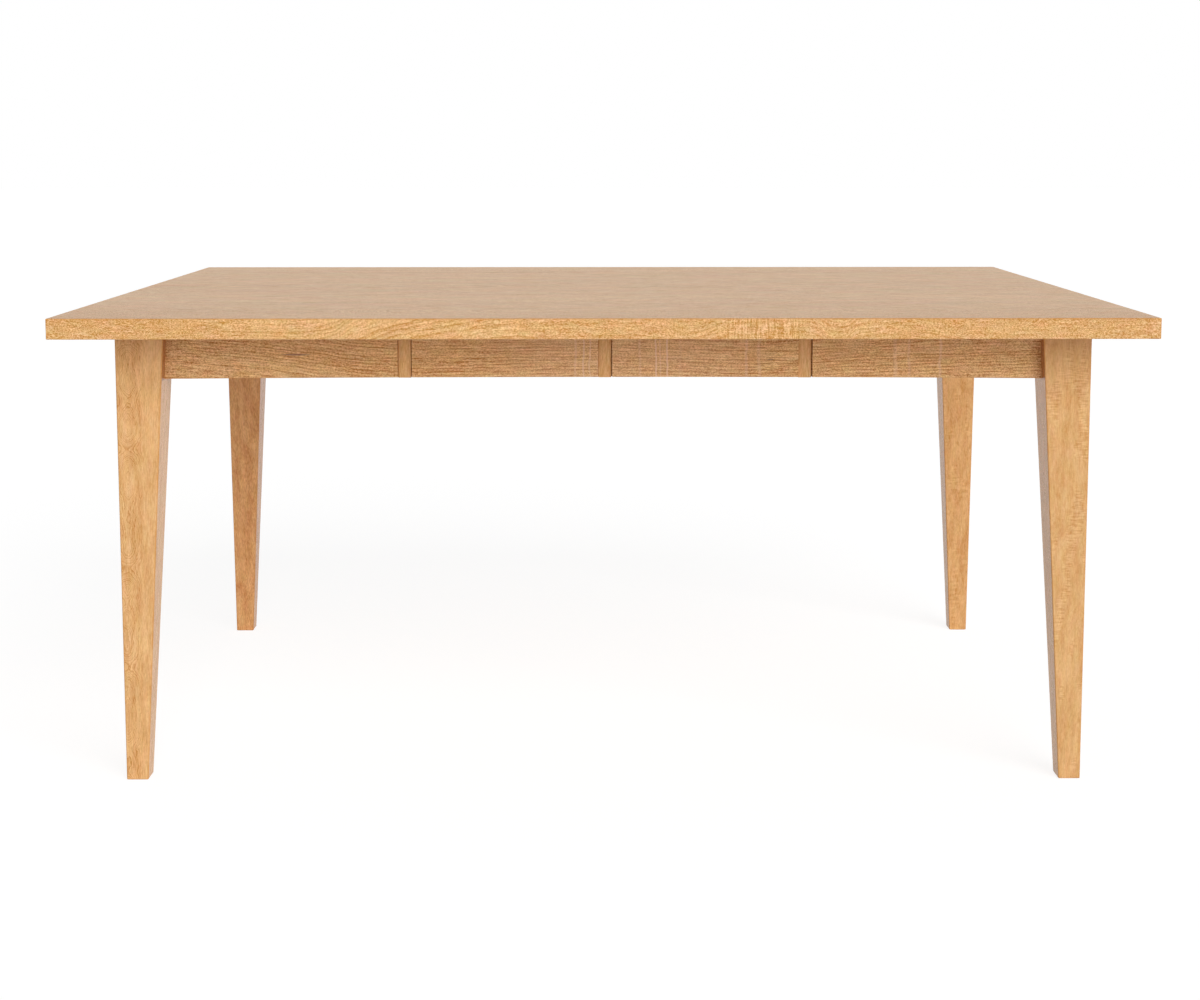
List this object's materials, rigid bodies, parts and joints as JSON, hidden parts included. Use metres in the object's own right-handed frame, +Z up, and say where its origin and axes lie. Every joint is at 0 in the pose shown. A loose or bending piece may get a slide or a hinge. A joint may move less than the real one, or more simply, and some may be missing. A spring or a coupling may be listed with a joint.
{
  "type": "dining table",
  "caption": "Rectangular solid maple dining table: thick overhanging top on inside-tapered square legs, slim aprons set back behind the leg faces, upright strips let into the long aprons.",
  "frame": {"origin": "on the floor, under the middle of the top", "axes": "+X along the table, +Y from the front long side to the back one, +Z up"},
  "size_m": [1.695, 1.188, 0.762],
  "materials": {
    "maple_top": "satin lacquer on planed and sanded maple boards",
    "maple_leg": "satin lacquer on figured maple",
    "maple_apron": "satin lacquer on figured maple",
    "maple_strip": "satin lacquer on plain maple",
    "maple_inner": "planed maple, unfinished",
    "steel_screw": "bright zinc-plated steel"
  },
  "bodies": {
    "root": {"apron_back": "maple_apron", "apron_front": "maple_apron", "apron_left": "maple_apron", "apron_right": "maple_apron", "button_back_1": "maple_inner", "button_back_2": "maple_inner", "button_back_3": "maple_inner", "button_back_4": "maple_inner", "button_front_1": "maple_inner", "button_front_2": "maple_inner", "button_front_3": "maple_inner", "button_front_4": "maple_inner", "button_left_1": "maple_inner", "button_left_2": "maple_inner", "button_right_1": "maple_inner", "button_right_2": "maple_inner", "button_screws_back": "steel_screw", "button_screws_front": "steel_screw", "button_screws_left": "steel_screw", "button_screws_right": "steel_screw", "corner_block_back_left": "maple_inner", "corner_block_back_right": "maple_inner", "corner_block_front_left": "maple_inner", "corner_block_front_right": "maple_inner", "corner_screws_back_left": "steel_screw", "corner_screws_back_right": "steel_screw", "corner_screws_front_left": "steel_screw", "corner_screws_front_right": "steel_screw", "cross_rail_centre": "maple_inner", "cross_rail_left": "maple_inner", "cross_rail_right": "maple_inner", "leg_back_left": "maple_leg", "leg_back_right": "maple_leg", "leg_front_left": "maple_leg", "leg_front_right": "maple_leg", "rail_screws_centre": "steel_screw", "rail_screws_left": "steel_screw", "rail_screws_right": "steel_screw", "strip_back_1": "maple_strip", "strip_back_2": "maple_strip", "strip_back_3": "maple_strip", "strip_front_1": "maple_strip", "strip_front_2": "maple_strip", "strip_front_3": "maple_strip", "top_board_1": "maple_top", "top_board_2": "maple_top", "top_board_3": "maple_top", "top_board_4": "maple_top", "top_board_5": "maple_top", "top_board_6": "maple_top", "top_board_7": "maple_top", "top_board_8": "maple_top", "top_splines": "maple_inner"}
  },
  "joints": []
}
